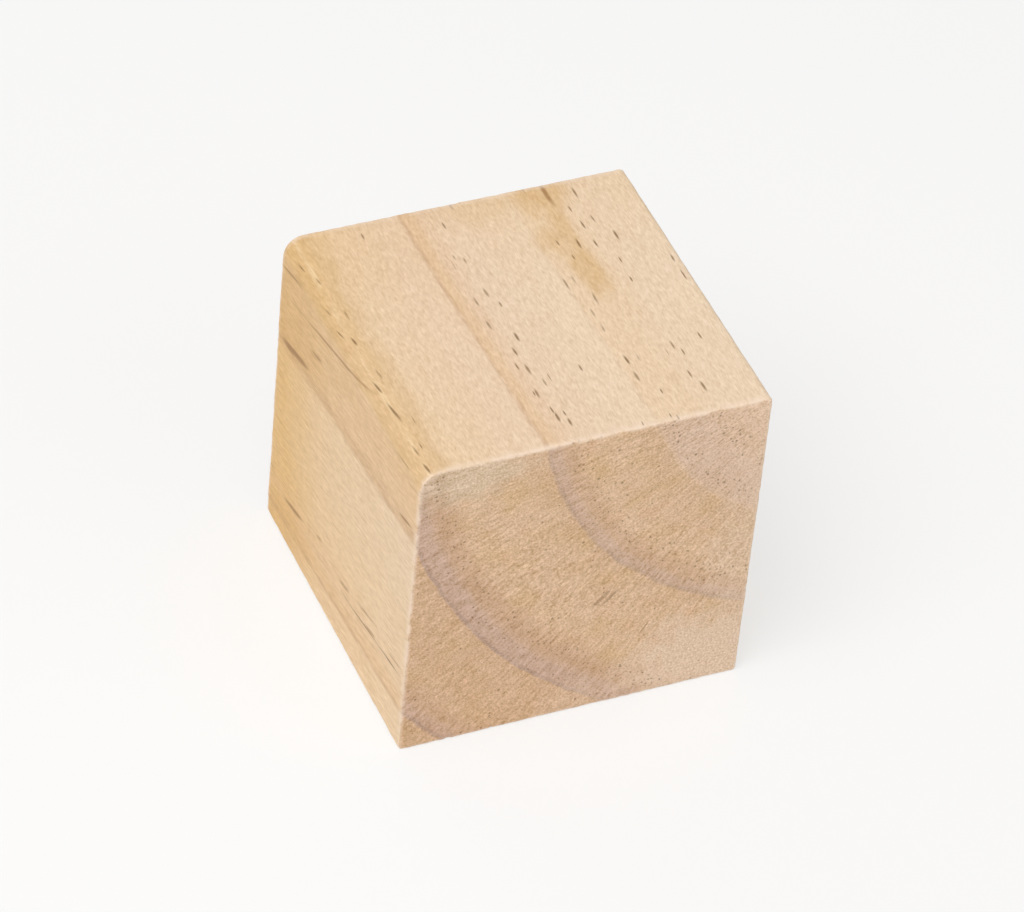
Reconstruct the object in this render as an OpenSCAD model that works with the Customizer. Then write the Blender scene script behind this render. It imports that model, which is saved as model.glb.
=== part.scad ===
// Wooden craft cube, one solid block of softwood.
// The grain runs along Y, so the two Y ends are sawn end grain and the other
// four faces are planed long grain. The block stands on its Z = 0 face, and
// the origin is the middle of that face.

/* [Block] */
// Size across the grain, from the left face to the right face
width = 50; // [20:1:100]
// Size along the grain, from one sawn end to the other
length = 50; // [20:1:100]
// Size from the base to the top face
height = 50; // [20:1:100]

/* [Long edges] */
// Radius of the long edge between the top and the left face, the rounded one
top_left_r = 3; // [1:0.1:8]
// Radius of the long edge between the top and the right face
top_right_r = 0.8; // [0.5:0.1:8]
// Radius of the long edge between the base and the left face
base_left_r = 0.8; // [0.5:0.1:8]
// Radius of the long edge between the base and the right face
base_right_r = 0.6; // [0.5:0.1:8]

/* [Sawn ends] */
// Radius that a light sanding leaves on the edges round each sawn end
end_r = 0.4; // [0.1:0.1:0.5]

/* [Colour] */
// Colour of the bare planed wood
wood_colour = "#e8cda6"; // [#e8cda6:Pine, #f0dfc2:Spruce, #dcb78c:Larch]

/* [Smoothness] */
// Facets in a full circle when the block is previewed
$fn = 96; // [24:4:192]

/* [Hidden] */

// The four sides and long edges, counted round the grain from the right face:
// right, top, left and base. Edge k is where side k meets the next side.
SIDES = [0 : 3];
reach = [width / 2, height / 2, width / 2, height / 2];
edge_r = [top_right_r, top_left_r, base_left_r, base_right_r];

// Side before side k, going round
function before(k) = (k + 3) % 4;

// Side after side k, going round
function after(k) = (k + 1) % 4;

// A strip as long as the block, from the grain's centre line outwards to
// depth. Its two outer corners carry the easing of the sawn ends.
module eased_strip(depth) {
    half = length / 2;
    translate([0, -half])
        square([depth - end_r, length]);
    translate([0, end_r - half])
        square([depth, length - 2 * end_r]);
    for (end = [0, 1])
        mirror([0, end])
            translate([depth - end_r, half - end_r])
                intersection() {
                    circle(r = end_r);
                    square(end_r);
                }
}

// The flat stretch of side k, between its two long edges
module side_slab(k) {
    low = edge_r[before(k)] - reach[before(k)];
    high = reach[after(k)] - edge_r[k];
    translate([0, high, 0])
        rotate([90, 0, 0])
            linear_extrude(height = high - low)
                eased_strip(reach[k]);
}

// Long edge k as a quarter of a turned post, whose rims blend the rounded
// edge into the eased sawn ends
module long_edge(k) {
    translate([reach[k] - edge_r[k], reach[after(k)] - edge_r[k], 0])
        rotate_extrude(angle = 90)
            eased_strip(edge_r[k]);
}

// The block, built round the grain with the grain upright and then laid down
module wooden_cube() {
    color(wood_colour)
        translate([0, 0, height / 2])
            rotate([90, 0, 0])
                for (k = SIDES)
                    rotate([0, 0, 90 * k]) {
                        side_slab(k);
                        long_edge(k);
                    }
}

wooden_cube();
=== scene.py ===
import math

import bpy
from mathutils import Euler, Matrix, Vector


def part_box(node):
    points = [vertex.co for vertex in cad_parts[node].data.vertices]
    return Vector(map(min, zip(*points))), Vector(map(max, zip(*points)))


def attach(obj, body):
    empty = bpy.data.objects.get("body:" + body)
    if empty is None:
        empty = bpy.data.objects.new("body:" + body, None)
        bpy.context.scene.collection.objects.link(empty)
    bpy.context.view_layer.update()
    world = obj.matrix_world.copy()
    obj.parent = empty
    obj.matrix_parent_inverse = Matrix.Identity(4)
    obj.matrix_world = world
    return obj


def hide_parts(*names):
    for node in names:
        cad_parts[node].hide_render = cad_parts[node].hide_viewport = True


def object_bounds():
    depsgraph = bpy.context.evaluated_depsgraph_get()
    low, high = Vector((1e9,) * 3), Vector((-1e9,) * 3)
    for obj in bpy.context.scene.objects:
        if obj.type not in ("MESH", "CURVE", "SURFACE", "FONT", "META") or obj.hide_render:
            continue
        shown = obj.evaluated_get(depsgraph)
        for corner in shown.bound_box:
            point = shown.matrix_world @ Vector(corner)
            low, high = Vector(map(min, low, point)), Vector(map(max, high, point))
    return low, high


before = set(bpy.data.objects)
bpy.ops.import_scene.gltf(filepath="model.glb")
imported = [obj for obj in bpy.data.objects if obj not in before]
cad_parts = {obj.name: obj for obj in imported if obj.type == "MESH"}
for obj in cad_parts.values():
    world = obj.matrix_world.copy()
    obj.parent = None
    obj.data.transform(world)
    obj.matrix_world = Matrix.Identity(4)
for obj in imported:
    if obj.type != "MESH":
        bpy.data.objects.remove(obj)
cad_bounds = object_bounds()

# Real sizes of the block, in millimetres, as in the CAD part
BLOCK = 50.0
TOP_LEFT_R = 3.0
TOP_RIGHT_R = 0.8
BASE_LEFT_R = 0.8
BASE_RIGHT_R = 0.6
END_R = 0.4
MM = 0.001
# Wear reaches this far in from the rims of the two ends and from the long edges
RIM_WEAR_REACH = 1.2
EDGE_WEAR_REACH = 1.5

# Where the block lay in the log: the pith runs almost along the grain, above and to the right of the block.
# It passes this point by the front end, drops a little towards the back and leans to the right in front.
PITH = (42.0, -25.0, 61.0)
PITH_DROP_DEG = 4.0
PITH_LEAN_DEG = 0.7
# The fibres wind round the pith, so they drop and lean more than the rings do
FIBRE_DROP_DEG = 10.5
FIBRE_LEAN_DEG = 1.2
# Near the left face they drop more still, and the streaks of resin there follow them
STREAK_DROP_DEG = 13.5

# One row for each year, from the pith outwards, in millimetres: the radius where it ends, the width of its
# darker wood, how strong that is, how strong the line at its end is, and how softly the year ends
RINGS = (
    (35.5, 16.0, 0.5, 0.1, 0.8),
    (50.8, 4.8, 0.8, 0.45, 0.6),
    (71.0, 7.4, 1.0, 0.6, 0.3),
    (86.1, 4.8, 0.8, 0.6, 0.3),
    (101.0, 5.0, 0.8, 0.6, 0.3),
)
OUTERMOST = RINGS[-1][0]
# The first wood of a year fades out over this width
FIRST_WOOD = 5.0
# The line at the end of a year lies this far inside it, and fades out between these distances from its middle
LINE_INSET = 0.35
LINE_FADE = (0.1, 0.6)
# The waves of the rings, in millimetres: their size across and along the grain, and how far they swing
RING_WAVES = (
    (22.0, 140.0, 0.7),
    (3.2, 45.0, 0.4),
    (0.6, 5.0, 0.22),
)
# Where the resin canals gather: the radius, how far they lie to either side of it, and what share of them
# is there
CANAL_ROWS = (
    (27.4, 1.5, 0.6),
    (33.1, 1.3, 0.6),
    (46.2, 1.9, 0.6),
    (65.7, 1.4, 0.6),
    (69.3, 1.8, 0.16),
    (83.0, 2.6, 0.2),
    (97.5, 2.4, 0.4),
)
STRAY_CANALS = 0.03
# Half the width of the narrowest canal and of the widest, in millimetres, and the share of it that is solid
CANAL_HALF_WIDTHS = (0.14, 0.25)
CANAL_CORE = 0.4

# Soft patches in the wood, in millimetres: the middle of each, its radii across the grain, along it and
# down, and its strength. Resin has soaked into the top behind the middle and into the back of the left face.
RESIN_PATCHES = (
    ((11.8, 16.0, 50.0), (2.0, 14.0, 4.0), 0.6),
    ((10.6, 13.0, 50.0), (4.0, 5.0, 4.0), 0.45),
    ((11.6, 24.0, 50.0), (5.4, 7.5, 4.0), 0.75),
    ((11.8, 6.5, 50.0), (2.8, 8.5, 4.0), 0.7),
    ((3.0, 25.0, 50.0), (12.0, 8.0, 4.0), 0.25),
    ((-25.0, 24.0, 42.0), (4.0, 32.0, 12.0), 0.45),
    ((-25.0, 24.0, 2.0), (4.0, 18.0, 6.0), 0.35),
)
# It has soaked into the rounded edge too, all along, and the strip is darkened further there as painted shade
# on the rounding
SOAKED_AND_SHADED_EDGE = (((-24.8, 0.0, 49.8), (6.0, 90.0, 4.0), 0.6),)
# A painted highlight lies along the crest of that edge, in places
CREST_HIGHLIGHT = (((-23.7, 0.0, 49.5), (0.5, 70.0, 0.5), 0.4),)
# No canals show here, high on the front half of the left face
CLEAR_WOOD = (((-25.0, -13.5, 45.2), (1.6, 15.0, 4.2), 1.0),)
# Long streaks of resin: a short one at the back of the top, and those on the left face, which drop towards
# the back
RESIN_STREAKS = (
    ((12.5, 22.8, 50.0), (0.5, 3.4, 3.0), 0.85),
    ((-25.0, 19.0, 34.6), (1.2, 6.0, 0.7), 0.85),
    ((-25.0, 6.0, 45.7), (0.6, 21.0, 0.3), 0.7),
    ((-25.0, 21.8, 46.2), (0.6, 4.2, 0.3), 0.7),
    ((-25.0, 11.0, 40.4), (0.6, 2.6, 0.3), 0.7),
    ((-25.0, -21.5, 39.1), (0.6, 3.0, 0.35), 0.8),
    ((-25.0, -11.8, 13.2), (0.6, 5.5, 0.35), 0.5),
    ((-25.0, -21.2, 13.6), (0.6, 3.0, 0.3), 0.5),
    ((-25.0, -13.0, 11.3), (0.6, 2.2, 0.4), 0.6),
    ((-25.0, -3.2, 11.0), (0.6, 2.0, 0.4), 0.5),
    ((-25.0, 6.2, 11.4), (0.6, 2.0, 0.4), 0.6),
    ((-25.0, 15.6, 8.5), (0.9, 4.6, 0.5), 0.85),
)
# On the front end, the lower right corner and the right side are rubbed smooth, and the corner by the
# rounded edge is dusty
SMOOTH_PATCHES = (
    ((20.0, -25.0, 4.0), (18.0, 30.0, 12.0), 0.9),
    ((26.0, -25.0, 22.0), (9.0, 30.0, 26.0), 0.45),
    ((1.0, -25.0, 1.0), (8.0, 30.0, 7.0), 0.3),
)
DUSTY_PATCHES = (((-19.0, -25.0, 49.0), (12.0, 30.0, 7.0), 0.5),)
# Two short checks by the second ring of the front end, placed round the pith, along it and out from it, at
# this radius of the arc
ARC_RADIUS = 55.0
CHECKS = (
    ((-128.3, 0.0, 56.4), (0.4, 20.0, 2.8), 0.5),
    ((-127.3, 0.0, 55.6), (0.4, 20.0, 2.8), 0.5),
)

# Camera, fitted to seven corners of the block in the photograph: its direction and its distance from the
# middle of the block, in millimetres, the tilt of the picture, and the lens, in millimetres
CAMERA_AZIMUTH_DEG = -26.4
CAMERA_ELEVATION_DEG = 42.0
CAMERA_DISTANCE = 772.0
CAMERA_ROLL_DEG = 5.75
CAMERA_LENS = 200.0

# Softboxes: azimuth and elevation in degrees, distance and size in metres, and power in watts
SOFTBOXES = {
    "key": (-60.0, 58.0, 1.1, 0.8, 7.9),
    "fill": (35.0, 30.0, 1.3, 0.9, 2.3),
    "rear": (-165.0, 20.0, 1.3, 0.8, 1.7),
}
# Strength of the even light from all round
ROOM_LIGHT = 0.4
# How far the floor reaches each way, in metres, and how far the camera sees it lifted towards white
FLOOR_REACH = 6.0
FLOOR_LIFT = 0.6

MATH = "ShaderNodeMath"
VECTOR = "ShaderNodeVectorMath"
NOISE = "ShaderNodeTexNoise"
RANGE = "ShaderNodeMapRange"
SPLIT = "ShaderNodeSeparateXYZ"
JOIN = "ShaderNodeCombineXYZ"
# Mix has its sockets in this order: 0 is the share, 2 and 3 mix numbers, 4 and 5 vectors, 6 and 7 colours
MIX = "ShaderNodeMix"


def linear(hex_colour):
    """An sRGB hex colour as linear RGBA."""
    channels = [int(hex_colour[i:i + 2], 16) / 255 for i in (1, 3, 5)]
    flat = [c / 12.92 if c <= 0.04045 else ((c + 0.055) / 1.055) ** 2.4 for c in channels]
    return (*flat, 1.0)


def add(tree, kind, inputs=(), out=0, **settings):
    """Adds a node with its settings and its inputs by order or by key. Returns one output, or the node."""
    node = tree.nodes.new(kind)
    for name, value in settings.items():
        setattr(node, name, value)
    pairs = inputs.items() if isinstance(inputs, dict) else enumerate(inputs)
    for key, value in pairs:
        if isinstance(value, bpy.types.NodeSocket):
            tree.links.new(value, node.inputs[key])
        else:
            node.inputs[key].default_value = value
    return node if out is None else node.outputs[out]


def cleared_tree(owner):
    """The node tree of a material or a world, emptied."""
    owner.use_nodes = True
    owner.node_tree.nodes.clear()
    return owner.node_tree


def in_scene(name, data):
    """A new object of this data, in the scene."""
    made_object = bpy.data.objects.new(name, data)
    bpy.context.scene.collection.objects.link(made_object)
    return made_object


# The wood's own fields, shared by the block's shape and its finish


def in_log(tree, place, drop_deg, lean_deg):
    """A place in the block, in millimetres, seen from the pith: X and Z across the log, Y along it."""
    turned = add(tree, "ShaderNodeVectorRotate", {
        "Vector": place,
        "Center": PITH,
        "Rotation": (math.radians(drop_deg), 0.0, math.radians(-lean_deg)),
    }, rotation_type="EULER_XYZ")
    return add(tree, VECTOR, [turned, PITH], operation="SUBTRACT")


def unevenness(tree, place, across, along, outwards=None, detail=2.0, roughness=0.5, seed=0.0):
    """Unevenness from -1 to 1, in features so many millimetres across and along the grain.

    Along Z they are as large as across, unless another size is given.
    """
    sizes = (across, along, outwards or across)
    value = add(tree, NOISE, {
        "Vector": add(tree, VECTOR, [place, tuple(1 / size for size in sizes)], operation="MULTIPLY"),
        "W": seed,
        "Scale": 1.0,
        "Detail": detail,
        "Roughness": roughness,
    }, noise_dimensions="4D")
    return add(tree, MATH, [value, 2.0, -1.0], operation="MULTIPLY_ADD")


def from_pith(tree, wood):
    """Distance from the pith, in millimetres."""
    flat = add(tree, VECTOR, [wood, (1.0, 0.0, 1.0)], operation="MULTIPLY")
    return add(tree, VECTOR, [flat], out="Value", operation="LENGTH")


def ring_radius(tree, wood):
    """Distance from the pith with the waves that real rings have."""
    radius = from_pith(tree, wood)
    for seed, (across, along, swing) in enumerate(RING_WAVES):
        wave = unevenness(tree, wood, across, along, detail=1.0, seed=1.0 + seed)
        radius = add(tree, MATH, [wave, swing, radius], operation="MULTIPLY_ADD")
    return radius


def of_the_year(tree, radius, values, most):
    """The value of the year that a radius lies in: one for each row of RINGS, none of them over the most."""
    share = add(tree, MATH, [radius, OUTERMOST], operation="DIVIDE")
    ramp = add(tree, "ShaderNodeValToRGB", [share], out=None)
    ramp.color_ramp.interpolation = "CONSTANT"
    stops = ramp.color_ramp.elements
    start = 0.0
    for row, value in zip(RINGS, values):
        stop = stops.new(start / OUTERMOST) if start else stops[0]
        stop.color = (value / most,) * 3 + (1.0,)
        start = row[0]
    stops.remove(stops[-1])
    return add(tree, MATH, [ramp.outputs[0], most], operation="MULTIPLY")


def year_bands(tree, radius):
    """Fields from 0 to 1 of each year: its first wood, the wood that turns dark, the dark wood, the line."""
    ends, widths, strengths, lines, softness = zip(*RINGS)
    since_start = add(tree, MATH, [radius, of_the_year(tree, radius, (0.0, *ends), OUTERMOST)],
                      operation="SUBTRACT")
    first = add(tree, RANGE, [since_start, 0.0, FIRST_WOOD, 1.0, 0.0])
    to_end = add(tree, MATH, [of_the_year(tree, radius, ends, OUTERMOST), radius], operation="SUBTRACT")
    share = add(tree, MATH, [to_end, of_the_year(tree, radius, widths, 20.0)], operation="DIVIDE")
    inner_side = add(tree, RANGE, [share, 0.3, 0.6, 1.0, 0.0], interpolation_type="SMOOTHSTEP")
    year_end = add(tree, RANGE, [to_end, 0.0, of_the_year(tree, radius, softness, 10.0), 0.0, 1.0])
    strength = add(tree, MATH, [year_end, of_the_year(tree, radius, strengths, 1.0)], operation="MULTIPLY")
    dark = add(tree, MATH, [inner_side, strength], operation="MULTIPLY")
    before = add(tree, RANGE, [share, 0.6, 1.1, 1.0, 0.0], interpolation_type="SMOOTHSTEP")
    before = add(tree, MATH, [before, inner_side], operation="SUBTRACT")
    turning = add(tree, MATH, [before, strength], operation="MULTIPLY")
    off_line = add(tree, MATH, [to_end, LINE_INSET], operation="SUBTRACT")
    off_line = add(tree, MATH, [off_line], operation="ABSOLUTE")
    line = add(tree, RANGE, [off_line, *LINE_FADE, 1.0, 0.0], interpolation_type="SMOOTHSTEP")
    line = add(tree, MATH, [line, of_the_year(tree, radius, lines, 1.0)], operation="MULTIPLY")
    return first, turning, dark, line


# The block's shape


def block_tree():
    """Geometry Nodes tree of the block: a fine shell, graded to its edges, rounded, then worn."""
    tree = bpy.data.node_groups.new("Sanded block", "GeometryNodeTree")
    tree.is_modifier = True
    sockets = tree.interface
    sockets.new_socket("Geometry", in_out="INPUT", socket_type="NodeSocketGeometry")
    sockets.new_socket("Geometry", in_out="OUTPUT", socket_type="NodeSocketGeometry")
    sockets.new_socket("Size", in_out="INPUT", socket_type="NodeSocketVector")
    for corner in ("Top left", "Top right", "Base left", "Base right", "End"):
        sockets.new_socket(corner + " radius", in_out="INPUT", socket_type="NodeSocketFloat")
    for name in ("Points across", "Points along"):
        sockets.new_socket(name, in_out="INPUT", socket_type="NodeSocketInt")
    for name in ("Edge grading", "Ring relief", "Edge wear", "Chip depth", "Seed"):
        sockets.new_socket(name, in_out="INPUT", socket_type="NodeSocketFloat")
    sockets.new_socket("Material", in_out="INPUT", socket_type="NodeSocketMaterial")
    given = add(tree, "NodeGroupInput", out=None).outputs

    # A closed shell of small quads, with its rows drawn towards the edges
    half = add(tree, VECTOR, {0: given["Size"], "Scale": 0.5}, operation="SCALE")
    shell = add(tree, "GeometryNodeMeshCube", {
        "Size": given["Size"],
        "Vertices X": given["Points across"],
        "Vertices Y": given["Points along"],
        "Vertices Z": given["Points across"],
    })
    even = add(tree, VECTOR, [add(tree, "GeometryNodeInputPosition"), half], operation="DIVIDE")
    turned = add(tree, VECTOR, {0: even, "Scale": math.pi / 2}, operation="SCALE")
    drawn = add(tree, VECTOR, [turned], operation="SINE")
    graded = add(tree, MIX, {0: given["Edge grading"], 4: even, 5: drawn}, out=1, data_type="VECTOR")
    sharp = add(tree, VECTOR, [graded, half], operation="MULTIPLY")

    # Each long edge has its own radius, and the rims of the ends a small one
    side = add(tree, VECTOR, [sharp], operation="SIGN")
    reach = add(tree, VECTOR, [sharp], operation="ABSOLUTE")
    side_x, _, side_z = add(tree, SPLIT, [side], out=None).outputs
    right = add(tree, MATH, [side_x, 0.0], operation="GREATER_THAN")
    above = add(tree, MATH, [side_z, 0.0], operation="GREATER_THAN")
    top_r = add(tree, MIX, {0: right, 2: given["Top left radius"], 3: given["Top right radius"]})
    base_r = add(tree, MIX, {0: right, 2: given["Base left radius"], 3: given["Base right radius"]})
    edge_r = add(tree, MIX, {0: above, 2: base_r, 3: top_r})
    rim_r = given["End radius"]
    edge_inset = add(tree, JOIN, [edge_r, 0.0, edge_r])
    edge_box = add(tree, VECTOR, [half, edge_inset], operation="SUBTRACT")
    axis = add(tree, VECTOR, [reach, edge_box], operation="MINIMUM")
    outward = add(tree, VECTOR, [reach, axis], operation="SUBTRACT")
    length = add(tree, VECTOR, [outward], out="Value", operation="LENGTH")
    inset_r = add(tree, MATH, [edge_r, rim_r], operation="SUBTRACT")
    length = add(tree, MATH, [length, 1e-9], operation="MAXIMUM")
    share = add(tree, MATH, [inset_r, length], operation="DIVIDE")
    share = add(tree, MATH, [share, 1.0], operation="MINIMUM")
    inset = add(tree, VECTOR, {0: outward, "Scale": share}, operation="SCALE")
    core = add(tree, VECTOR, [axis, inset], operation="ADD")
    rim_inset = add(tree, JOIN, [0.0, rim_r, 0.0])
    rim_box = add(tree, VECTOR, [half, rim_inset], operation="SUBTRACT")
    core = add(tree, VECTOR, [core, rim_box], operation="MINIMUM")
    away = add(tree, VECTOR, [add(tree, VECTOR, [reach, core], operation="SUBTRACT")], operation="NORMALIZE")
    round_skin = add(tree, VECTOR, {0: away, "Scale": rim_r}, operation="SCALE")
    rounded = add(tree, VECTOR, [core, round_skin], operation="ADD")
    rounded = add(tree, VECTOR, [rounded, side], operation="MULTIPLY")
    normal = add(tree, VECTOR, [away, side], operation="MULTIPLY")
    standing = add(tree, VECTOR, [
        rounded,
        add(tree, VECTOR, [half, (0.0, 0.0, 1.0)], operation="MULTIPLY"),
    ], operation="ADD")

    # Wear only takes wood away: soft early wood sinks a little, rims are uneven and here and there chipped
    place = add(tree, VECTOR, {0: standing, "Scale": 1 / MM}, operation="SCALE")
    wood = in_log(tree, place, PITH_DROP_DEG, PITH_LEAN_DEG)
    dark = year_bands(tree, ring_radius(tree, wood))[2]
    sunk = add(tree, MATH, [add(tree, MATH, [1.0, dark], operation="SUBTRACT"), given["Ring relief"]],
               operation="MULTIPLY")

    gaps = add(tree, VECTOR, [half, reach], operation="SUBTRACT")
    gap_x, gap_y, gap_z = add(tree, SPLIT, [gaps], out=None).outputs
    side_gap = add(tree, MATH, [gap_x, gap_z], operation="MINIMUM")
    rim_gap = add(tree, MATH, [gap_y, side_gap], operation="MAXIMUM")
    near_rim = add(tree, RANGE, [rim_gap, 0.0, RIM_WEAR_REACH * MM, 1.0, 0.0],
                   interpolation_type="SMOOTHSTEP")
    long_gap = add(tree, MATH, [gap_x, gap_z], operation="MAXIMUM")
    near_long_edge = add(tree, RANGE, [long_gap, 0.0, EDGE_WEAR_REACH * MM, 1.0, 0.0],
                         interpolation_type="SMOOTHSTEP")
    near_edge = add(tree, MATH, [near_rim, near_long_edge], operation="MAXIMUM")
    rough = unevenness(tree, place, 1.1, 2.2, detail=3.0, seed=given["Seed"])
    rough = add(tree, RANGE, [rough, -0.2, 0.7, 0.0, given["Edge wear"]])
    worn = add(tree, MATH, [near_edge, rough, sunk], operation="MULTIPLY_ADD")
    next_seed = add(tree, MATH, [given["Seed"], 1.0], operation="ADD")
    bites = unevenness(tree, place, 2.4, 2.4, detail=1.0, seed=next_seed)
    chips = add(tree, RANGE, [bites, 0.42, 0.62, 0.0, given["Chip depth"]], interpolation_type="SMOOTHSTEP")
    worn = add(tree, MATH, [near_rim, chips, worn], operation="MULTIPLY_ADD")
    inwards = add(tree, VECTOR, {0: normal, "Scale": add(tree, MATH, [worn, -1.0], operation="MULTIPLY")},
                  operation="SCALE")
    worn_skin = add(tree, VECTOR, [standing, inwards], operation="ADD")

    mesh = add(tree, "GeometryNodeSetPosition", {"Geometry": shell, "Position": worn_skin})
    mesh = add(tree, "GeometryNodeSetShadeSmooth", {"Geometry": mesh, "Shade Smooth": True})
    mesh = add(tree, "GeometryNodeRealizeInstances", {"Geometry": mesh})
    mesh = add(tree, "GeometryNodeSetMaterial", {"Geometry": mesh, "Material": given["Material"]})
    add(tree, "NodeGroupOutput", {"Geometry": mesh}, out=None)
    return tree


def block(material):
    """The block as a plain mesh, worked out by the Geometry Nodes tree from the frame's own box."""
    low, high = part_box("wooden_cube")
    tree = block_tree()
    maker = in_scene("block_maker", bpy.data.meshes.new("block_maker"))
    modifier = maker.modifiers.new("Sanded block", "NODES")
    modifier.node_group = tree
    values = {
        "Size": tuple(Vector(high) - Vector(low)),
        "Top left radius": TOP_LEFT_R * MM,
        "Top right radius": TOP_RIGHT_R * MM,
        "Base left radius": BASE_LEFT_R * MM,
        "Base right radius": BASE_RIGHT_R * MM,
        "End radius": END_R * MM,
        "Points across": 151,
        "Points along": 86,
        "Edge grading": 0.75,
        "Ring relief": 0.03 * MM,
        "Edge wear": 0.12 * MM,
        "Chip depth": 0.3 * MM,
        "Seed": 5.0,
        "Material": material,
    }
    for socket in tree.interface.items_tree:
        if socket.in_out == "INPUT" and socket.name in values:
            modifier[socket.identifier] = values[socket.name]
    finished = maker.evaluated_get(bpy.context.evaluated_depsgraph_get())
    mesh = bpy.data.meshes.new_from_object(finished)
    bpy.data.objects.remove(maker)
    mesh.name = "pine_block"
    return in_scene("pine_block", mesh)


# The finish


def patches(tree, place, across, along, low, high, seed):
    """Soft patches from 0 to 1, where unevenness of that size rises from low to high."""
    value = unevenness(tree, place, across, along, seed=seed)
    return add(tree, RANGE, [value, low, high, 0.0, 1.0], interpolation_type="SMOOTHSTEP")


def spots(tree, place, ragged, rows):
    """Soft spots with ragged outlines, from rows of a middle, radii and a strength.

    A spot is full in its middle third, and fades out at its radii.
    """
    cover = 0.0
    for middle, radii, strength in rows:
        away = add(tree, VECTOR, [place, middle], operation="SUBTRACT")
        away = add(tree, VECTOR, [away, radii], operation="DIVIDE")
        distance = add(tree, VECTOR, [away], out="Value", operation="LENGTH")
        distance = add(tree, MATH, [ragged, 0.5, distance], operation="MULTIPLY_ADD")
        spot = add(tree, RANGE, [distance, 0.35, 1.0, strength, 0.0], interpolation_type="SMOOTHSTEP")
        cover = add(tree, MATH, [cover, spot], operation="MAXIMUM")
    return cover


def fibre_spots(tree, place, drop_deg, ragged, rows):
    """Spots with their middles given in the block, drawn out along fibres that drop by that much."""
    turn = Euler((math.radians(drop_deg), 0.0, math.radians(-FIBRE_LEAN_DEG))).to_matrix()
    turned = [(turn @ (Vector(middle) - Vector(PITH)), radii, strength) for middle, radii, strength in rows]
    return spots(tree, in_log(tree, place, drop_deg, FIBRE_LEAN_DEG), ragged, turned)


def stained(tree, colour, *stains):
    """A colour with stains laid over it in turn, each a field from 0 to 1, a strength and a hex colour."""
    for field, strength, tint in stains:
        amount = add(tree, MATH, [field, strength], operation="MULTIPLY")
        colour = add(tree, MIX, {0: amount, 6: colour, 7: linear(tint)}, out=2, data_type="RGBA")
    return colour


def flecked(tree, colour, *flecks):
    """A colour made lighter and darker by fields from -1 to 1, each with its strength.

    Blue changes the most, because dark flecks of wood are browner and pale ones creamier.
    """
    change = 0.0
    for field, strength in flecks:
        change = add(tree, MATH, [field, strength, change], operation="MULTIPLY_ADD")
    level = add(tree, VECTOR, [change, (0.75, 1.0, 1.4), (1.0, 1.0, 1.0)], operation="MULTIPLY_ADD")
    return add(tree, VECTOR, [colour, level], operation="MULTIPLY")


def resin_canals(tree, fibres, radius):
    """Resin canals from 0 to 1: tubes that follow the fibres, a quarter to half a millimetre wide.

    A face that crosses them shows dots, one that cuts them at a slant shows dashes, and one that lies almost
    along them shows long thin lines.
    """
    sway = add(tree, NOISE, {
        "Vector": add(tree, VECTOR, [fibres, (0.12, 0.04, 0.12)], operation="MULTIPLY"),
        "Scale": 1.0,
    }, out="Color", noise_dimensions="3D")
    swayed = add(tree, VECTOR, [sway, (1.6, 0.0, 1.6), fibres], operation="MULTIPLY_ADD")
    x, _, z = add(tree, SPLIT, [swayed], out=None).outputs
    # One tube could stand in each square millimetre
    cells = add(tree, "ShaderNodeTexVoronoi", {
        "Vector": add(tree, JOIN, [x, z]),
        "Scale": 1.0,
    }, out=None, voronoi_dimensions="2D")
    draw, width, _ = add(tree, SPLIT, [cells.outputs["Color"]], out=None).outputs
    wall = add(tree, RANGE, [width, 0.0, 1.0, *CANAL_HALF_WIDTHS])
    core = add(tree, MATH, [wall, CANAL_CORE], operation="MULTIPLY")
    tube = add(tree, RANGE, [cells.outputs["Distance"], core, wall, 1.0, 0.0])
    chance = STRAY_CANALS
    for row_radius, half_width, share in CANAL_ROWS:
        off = add(tree, MATH, [radius, row_radius], operation="SUBTRACT")
        off = add(tree, MATH, [off], operation="ABSOLUTE")
        here = add(tree, RANGE, [off, half_width * 0.6, half_width, share, 0.0])
        chance = add(tree, MATH, [chance, here], operation="MAXIMUM")
    kept = add(tree, MATH, [draw, chance], operation="LESS_THAN")
    # Here and there a tube is pale and empty
    filled = patches(tree, fibres, 1.2, 7.0, -0.5, 0.1, 12.0)
    tube = add(tree, MATH, [tube, kept], operation="MULTIPLY")
    return add(tree, MATH, [tube, filled], operation="MULTIPLY")


def round_pith(tree, wood):
    """A place in the log by its distance round the pith, along it and out from it, in millimetres."""
    x, y, z = add(tree, SPLIT, [wood], out=None).outputs
    angle = add(tree, MATH, [z, x], operation="ARCTAN2")
    arc = add(tree, MATH, [angle, ARC_RADIUS], operation="MULTIPLY")
    return add(tree, JOIN, [arc, y, from_pith(tree, wood)])


def ray_streaks(tree, polar, spacing, length, seed):
    """Streaks from -1 to 1 that run from the pith outwards, so many millimetres apart and long."""
    return unevenness(tree, polar, spacing, 5.0, outwards=length, detail=1.0, seed=seed)


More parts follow.
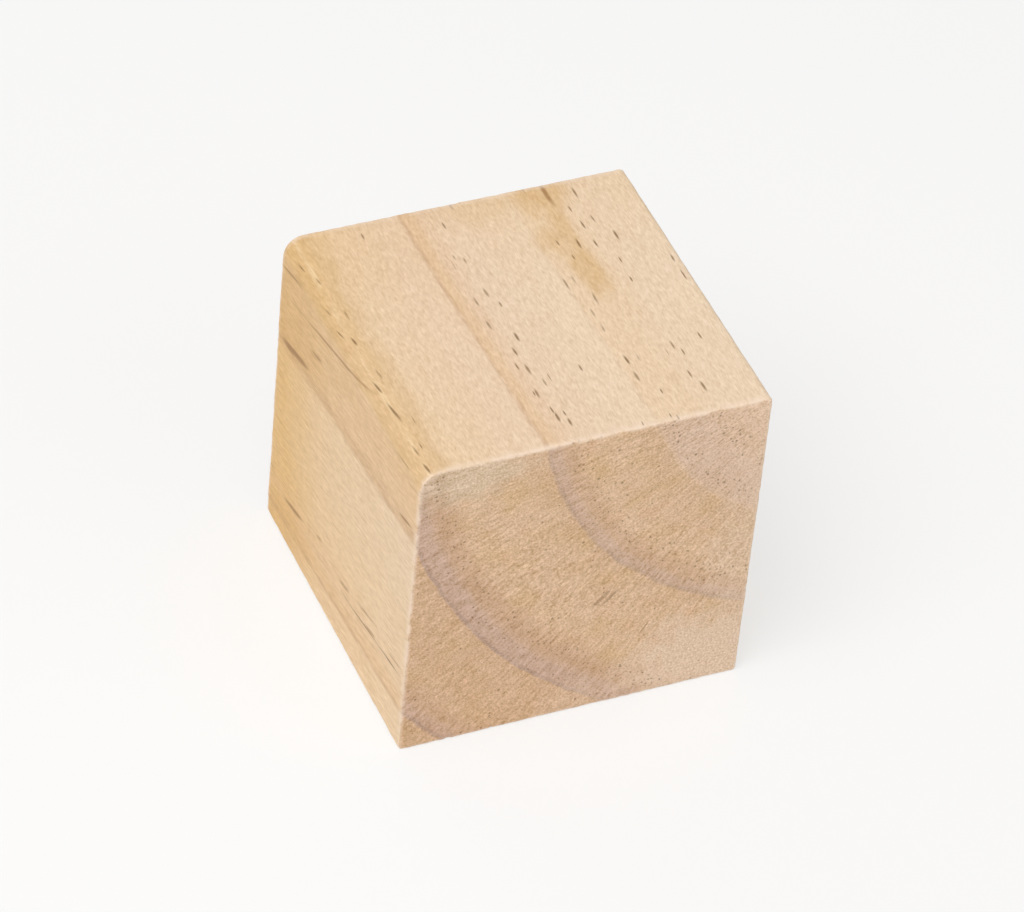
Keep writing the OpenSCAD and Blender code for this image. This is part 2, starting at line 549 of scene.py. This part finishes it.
def planed_grain(tree, place, wood, fibres, radius, years):
    """Colour and height of the planed long grain: cream, with honey late wood and resin soaked in, painted
    shade towards the back and a painted highlight on the rounded edge.
    """
    _, turning, dark, line = years
    # The wood is more honey-coloured away from the pith. Towards the back it turns more honey-coloured still
    # as painted shade, and it is palest low at the left front as painted light
    _, y, z = add(tree, SPLIT, [place], out=None).outputs
    upper = add(tree, RANGE, [z, 39.0, 48.0, 0.0, 1.0])
    outer = add(tree, RANGE, [radius, 55.0, 70.0, 0.0, 1.0])
    # back: painted shade, more honey towards the back
    back = add(tree, RANGE, [y, 3.0, 27.0, 0.0, 1.0], interpolation_type="SMOOTHSTEP")
    # front: painted light, palest low at the front
    front = add(tree, RANGE, [y, -25.0, 10.0, add(tree, RANGE, [upper, 0.0, 1.0, -0.27, -0.02]), 0.0])
    honey = add(tree, RANGE, [radius, 30.0, 80.0, -0.04, 0.56])
    honey = add(tree, MATH, [patches(tree, wood, 7.0, 60.0, -0.1, 0.7, 4.0), 0.15, honey],
                operation="MULTIPLY_ADD")
    honey = add(tree, MATH, [back, add(tree, RANGE, [outer, 0.0, 1.0, 0.18, 0.55]), honey],
                operation="MULTIPLY_ADD")
    honey = add(tree, MATH, [front, outer, honey], operation="MULTIPLY_ADD")
    ragged = unevenness(tree, place, 2.0, 6.0, seed=13.0)
    # Resin has soaked in unevenly, and a painted highlight lies along the crest of the rounded edge, only in
    # places
    thin = add(tree, RANGE, [unevenness(tree, fibres, 1.4, 4.0, seed=21.0), -0.4, 0.5, 0.65, 1.0])
    crest_highlight = add(tree, MATH, [spots(tree, place, ragged, CREST_HIGHLIGHT),
                             patches(tree, place, 3.0, 4.0, -0.2, 0.3, 26.0)], operation="MULTIPLY")
    soaked = fibre_spots(tree, place, FIBRE_DROP_DEG, ragged, RESIN_PATCHES)
    soaked = add(tree, MATH, [soaked, thin], operation="MULTIPLY")
    # The middle years are a little rosy on the top and high on the left face
    rosy = add(tree, MATH, [add(tree, RANGE, [radius, 34.0, 44.0, 0.0, 1.0]), outer], operation="SUBTRACT")
    rosy = add(tree, MATH, [rosy, upper], operation="MULTIPLY")
    faint_line = add(tree, MATH, [line, patches(tree, wood, 1.0, 3.0, -0.6, 0.4, 24.0)], operation="MULTIPLY")
    # Planing has smeared the line of the outer year
    faint_line = add(tree, MATH, [faint_line, add(tree, RANGE, [outer, 0.0, 1.0, 1.0, 0.65])],
                     operation="MULTIPLY")
    colour = stained(
        tree, linear("#edd4b6"),
        # The honey tint is the wood's own colour away from the pith, and painted shade towards the back
        (honey, 1.0, "#e3ba7c"),
        (patches(tree, wood, 2.2, 5.0, -0.2, 0.6, 5.0), 0.12, "#e0bea2"),
        (rosy, 0.2, "#dec0b0"),
        (turning, 0.2, "#d8a880"),
        (dark, 0.4, "#d9ab72"),
        (faint_line, 0.9, "#b58662"),
        (soaked, 1.0, "#d4aa6e"),
        # The rounded edge: soaked-in resin and painted shade
        (spots(tree, place, ragged, SOAKED_AND_SHADED_EDGE), 0.7, "#cda76c"),
        # Painted highlight along the crest of the rounded edge
        (crest_highlight, 1.0, "#f2d8ae"),
        (fibre_spots(tree, place, STREAK_DROP_DEG, ragged, RESIN_STREAKS), 0.9, "#9a6c3c"),
    )
    # Pine fibres are some 0.03 mm wide, too fine to show, so bundles of them are drawn
    fibre = unevenness(tree, fibres, 0.16, 4.0, detail=3.0, roughness=0.6, seed=6.0)
    bundles = unevenness(tree, fibres, 0.4, 4.5, detail=1.0, seed=7.0)
    fuzz = unevenness(tree, fibres, 0.42, 1.3, detail=1.0, seed=25.0)
    height = add(tree, MATH, [fibre, 0.02], operation="MULTIPLY")
    return flecked(tree, colour, (fibre, 0.33), (bundles, 0.11), (fuzz, 0.18)), height


def sawn_grain(tree, place, wood, radius, years):
    """Colour and height of the crosscut ends: tan, with greyish late wood, fine rays and open pores."""
    first, turning, dark, line = years
    ragged = unevenness(tree, place, 2.0, 6.0, seed=15.0)
    smooth = fibre_spots(tree, place, FIBRE_DROP_DEG, ragged, SMOOTH_PATCHES)
    # The first years of the tree, round its pith, are paler
    young = add(tree, RANGE, [radius, 22.0, 35.4, 0.9, 0.3])
    young = add(tree, MATH, [young, add(tree, RANGE, [radius, 35.2, 35.8, 1.0, 0.0])], operation="MULTIPLY")
    worn_line = add(tree, MATH, [line, patches(tree, wood, 6.0, 60.0, -0.6, 0.4, 23.0)], operation="MULTIPLY")
    # The rays and pores are finer than a tenth of a millimetre, and are drawn as coarse as they need to show
    polar = round_pith(tree, wood)
    rays = ray_streaks(tree, polar, 0.4, 2.0, 10.0)
    torn = add(tree, RANGE, [unevenness(tree, wood, 6.0, 60.0, seed=17.0), -0.4, 0.4, 0.3, 0.8])
    late = add(tree, MATH, [turning, dark], operation="ADD")
    torn = add(tree, MATH, [late, 0.15, torn], operation="MULTIPLY_ADD")
    torn = add(tree, MATH, [torn, add(tree, MATH, [1.0, smooth], operation="SUBTRACT")], operation="MULTIPLY")
    torn_rays = add(tree, MATH, [rays, torn], operation="MULTIPLY")
    pores = unevenness(tree, wood, 0.3, 2.0, detail=1.0, seed=11.0)
    dark_pores = add(tree, RANGE, [pores, 0.22, 0.45, 0.0, 1.0])
    dark_pores = add(tree, MATH, [dark_pores, late], operation="MULTIPLY")
    nicks = add(tree, RANGE, [ray_streaks(tree, polar, 0.5, 1.6, 18.0), 0.42, 0.6, 0.0, 1.0])
    hairlines = add(tree, RANGE, [ray_streaks(tree, polar, 0.7, 7.0, 19.0), 0.52, 0.62, 0.0, 1.0])
    colour = stained(
        tree, linear("#debc9a"),
        (patches(tree, wood, 5.0, 60.0, -0.2, 0.7, 8.0), 0.85, "#d6b182"),
        (patches(tree, wood, 3.5, 60.0, 0.0, 0.7, 9.0), 0.85, "#dbb08b"),
        (first, 0.2, "#c7a37f"),
        (add(tree, RANGE, [radius, 62.0, 75.0, 0.0, 1.0]), 0.35, "#cba27d"),
        (young, 1.0, "#f3d6bb"),
        (turning, 0.68, "#cba586"),
        (dark, 0.52, "#c3a59b"),
        (worn_line, 0.75, "#a28374"),
        (smooth, 1.0, "#e6cbb1"),
        (fibre_spots(tree, place, FIBRE_DROP_DEG, ragged, DUSTY_PATCHES), 1.0, "#dbc8ae"),
        (dark_pores, 0.5, "#96755c"),
        (nicks, 0.4, "#a4795a"),
        (hairlines, 0.5, "#a98463"),
        (spots(tree, polar, ragged, CHECKS), 1.0, "#936c48"),
    )
    height = add(tree, MATH, [pores, 0.03], operation="MULTIPLY")
    height = add(tree, MATH, [rays, 0.03, height], operation="MULTIPLY_ADD")
    return flecked(tree, colour, (torn_rays, 0.6), (pores, 0.55)), height


def rim_wear_and_highlight(tree, place, on_end):
    """The rims of the two ends from 0 to 1, where the saw and handling have left the wood pale, with a
    painted highlight along them as well.
    """
    centred = add(tree, VECTOR, [place, (0.0, 0.0, BLOCK / 2)], operation="SUBTRACT")
    reach = add(tree, VECTOR, [centred], operation="ABSOLUTE")
    gaps = add(tree, VECTOR, [(BLOCK / 2,) * 3, reach], operation="SUBTRACT")
    gap_x, gap_y, gap_z = add(tree, SPLIT, [gaps], out=None).outputs
    beside = add(tree, RANGE, [gap_y, 0.3, 1.1, 1.0, 0.0])
    inside = add(tree, RANGE, [add(tree, MATH, [gap_x, gap_z], operation="MINIMUM"), 0.2, 0.6, 1.0, 0.0])
    rim = add(tree, MIX, {0: on_end, 2: beside, 3: inside})
    return add(tree, MATH, [rim, patches(tree, place, 1.5, 1.5, -0.5, 0.3, 22.0)], operation="MULTIPLY")


def bare_pine():
    """Bare plantation pine, planed on its long grain and crosscut on its ends, with no oil or varnish.

    The eye sees pale cream early wood, thin darker lines where each year ends, short brown dashes of resin
    canals on the long grain, and greyer, darker, speckled end grain that soaks up the light.
    """
    material = bpy.data.materials.new("bare_pine")
    tree = cleared_tree(material)
    where = add(tree, "ShaderNodeTexCoord", out="Object")
    place = add(tree, VECTOR, {0: where, "Scale": 1 / MM}, operation="SCALE")
    wood = in_log(tree, place, PITH_DROP_DEG, PITH_LEAN_DEG)
    fibres = in_log(tree, place, FIBRE_DROP_DEG, FIBRE_LEAN_DEG)
    radius = ring_radius(tree, wood)
    years = year_bands(tree, radius)

    # 0 where the face runs along the grain, 1 where it is sawn across
    facing = add(tree, SPLIT, [add(tree, "ShaderNodeTexCoord", out="Normal")], out="Y")
    facing = add(tree, MATH, [facing], operation="ABSOLUTE")
    on_end = add(tree, RANGE, [facing, 0.5, 0.8, 0.0, 1.0], interpolation_type="SMOOTHSTEP")

    long_colour, long_height = planed_grain(tree, place, wood, fibres, radius, years)
    end_colour, end_height = sawn_grain(tree, place, wood, radius, years)
    colour = add(tree, MIX, {0: on_end, 6: long_colour, 7: end_colour}, out=2, data_type="RGBA")
    # The canals are full of resin on the planed faces, and dustier on the sawn ones
    canals = resin_canals(tree, fibres, radius)
    shown = add(tree, MATH, [1.0, spots(tree, place, 0.0, CLEAR_WOOD)], operation="SUBTRACT")
    canals = add(tree, MATH, [canals, shown], operation="MULTIPLY")
    canals = add(tree, MATH, [canals, add(tree, RANGE, [on_end, 0.0, 1.0, 0.85, 0.7])], operation="MULTIPLY")
    colour = stained(
        tree, colour,
        (canals, 1.0, "#7d5a2e"),
        # Pale rims: wood worn pale by the saw and handling, and a painted highlight
        (rim_wear_and_highlight(tree, place, on_end), 0.75, "#f3dcc6"),
    )

    height = add(tree, MIX, {0: on_end, 2: long_height, 3: end_height})
    shader = add(tree, "ShaderNodeBsdfPrincipled", {
        "Base Color": colour,
        "Roughness": add(tree, RANGE, [on_end, 0.0, 1.0, 0.6, 0.8]),
        "IOR": 1.5,
        "Normal": add(tree, "ShaderNodeBump", {"Strength": 1.0, "Distance": MM, "Height": height}),
    })
    add(tree, "ShaderNodeOutputMaterial", {"Surface": shader}, out=None)
    return material


# The studio


def camera_share(tree):
    """1 for rays that show the background to the camera, straight, by reflection or through glass."""
    path = add(tree, "ShaderNodeLightPath", out=None).outputs
    seen = add(tree, MATH, [path["Is Camera Ray"], path["Is Glossy Ray"]], operation="MAXIMUM")
    return add(tree, MATH, [seen, path["Is Transmission Ray"]], operation="MAXIMUM")


def floor():
    """A wide pale floor. The camera sees it lifted towards white, and it keeps the block's shadow."""
    mesh = bpy.data.meshes.new("floor")
    far = FLOOR_REACH
    # A hair below the base, so that the two faces don't fall together
    low = -0.02 * MM
    corners = [(-far, -far, low), (far, -far, low), (far, far, low), (-far, far, low)]
    mesh.from_pydata(corners, [], [(0, 1, 2, 3)])
    material = bpy.data.materials.new("white_card")
    tree = cleared_tree(material)
    lifted = add(tree, MATH, [camera_share(tree), FLOOR_LIFT], operation="MULTIPLY")
    card = add(tree, "ShaderNodeBsdfDiffuse", {"Color": linear("#f4f3f1")})
    glow = add(tree, "ShaderNodeEmission", {"Color": linear("#ffffff"), "Strength": 1.0})
    surface = add(tree, "ShaderNodeMixShader", [lifted, card, glow])
    add(tree, "ShaderNodeOutputMaterial", {"Surface": surface}, out=None)
    mesh.materials.append(material)
    in_scene("floor", mesh)


def daylight():
    """Even pale light from all round, seen as white by the camera."""
    world = bpy.data.worlds.new("studio")
    bpy.context.scene.world = world
    tree = cleared_tree(world)
    soft = add(tree, "ShaderNodeBackground", {"Color": linear("#ffffff"), "Strength": ROOM_LIGHT})
    white = add(tree, "ShaderNodeBackground", {"Color": linear("#ffffff"), "Strength": 1.0})
    either = add(tree, "ShaderNodeMixShader", [camera_share(tree), soft, white])
    add(tree, "ShaderNodeOutputWorld", {"Surface": either}, out=None)


def direction(azimuth_deg, elevation_deg):
    """Unit vector from the block to a place round it, with azimuth 0 in front and positive to the right."""
    a, e = math.radians(azimuth_deg), math.radians(elevation_deg)
    return Vector((math.sin(a) * math.cos(e), -math.cos(a) * math.cos(e), math.sin(e)))


def softbox(name, azimuth_deg, elevation_deg, distance, size, power):
    """A square area lamp aimed at the middle of the block's base."""
    data = bpy.data.lights.new(name, "AREA")
    data.size = size
    data.energy = power
    lamp = in_scene(name, data)
    towards = direction(azimuth_deg, elevation_deg)
    lamp.location = towards * distance
    lamp.rotation_euler = towards.to_track_quat("Z", "Y").to_euler()


def camera():
    """The camera at the photograph's viewing angle, aimed at the middle of the block."""
    low, high = cad_bounds
    middle = (low + high) / 2
    back = direction(CAMERA_AZIMUTH_DEG, CAMERA_ELEVATION_DEG)
    data = bpy.data.cameras.new("camera")
    data.lens = CAMERA_LENS
    data.clip_start = 0.05
    roll = Matrix.Rotation(math.radians(CAMERA_ROLL_DEG), 3, back)
    level = back.to_track_quat("Z", "Y").to_matrix()
    eye = in_scene("camera", data)
    eye.matrix_world = Matrix.Translation(middle + back * CAMERA_DISTANCE * MM) @ (roll @ level).to_4x4()
    bpy.context.scene.camera = eye


camera()
bpy.context.scene.view_settings.view_transform = "Standard"
daylight()
for lamp_name, lamp_settings in SOFTBOXES.items():
    softbox(lamp_name, *lamp_settings)
floor()

pine = block(bare_pine())
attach(pine, "root")
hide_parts("wooden_cube")
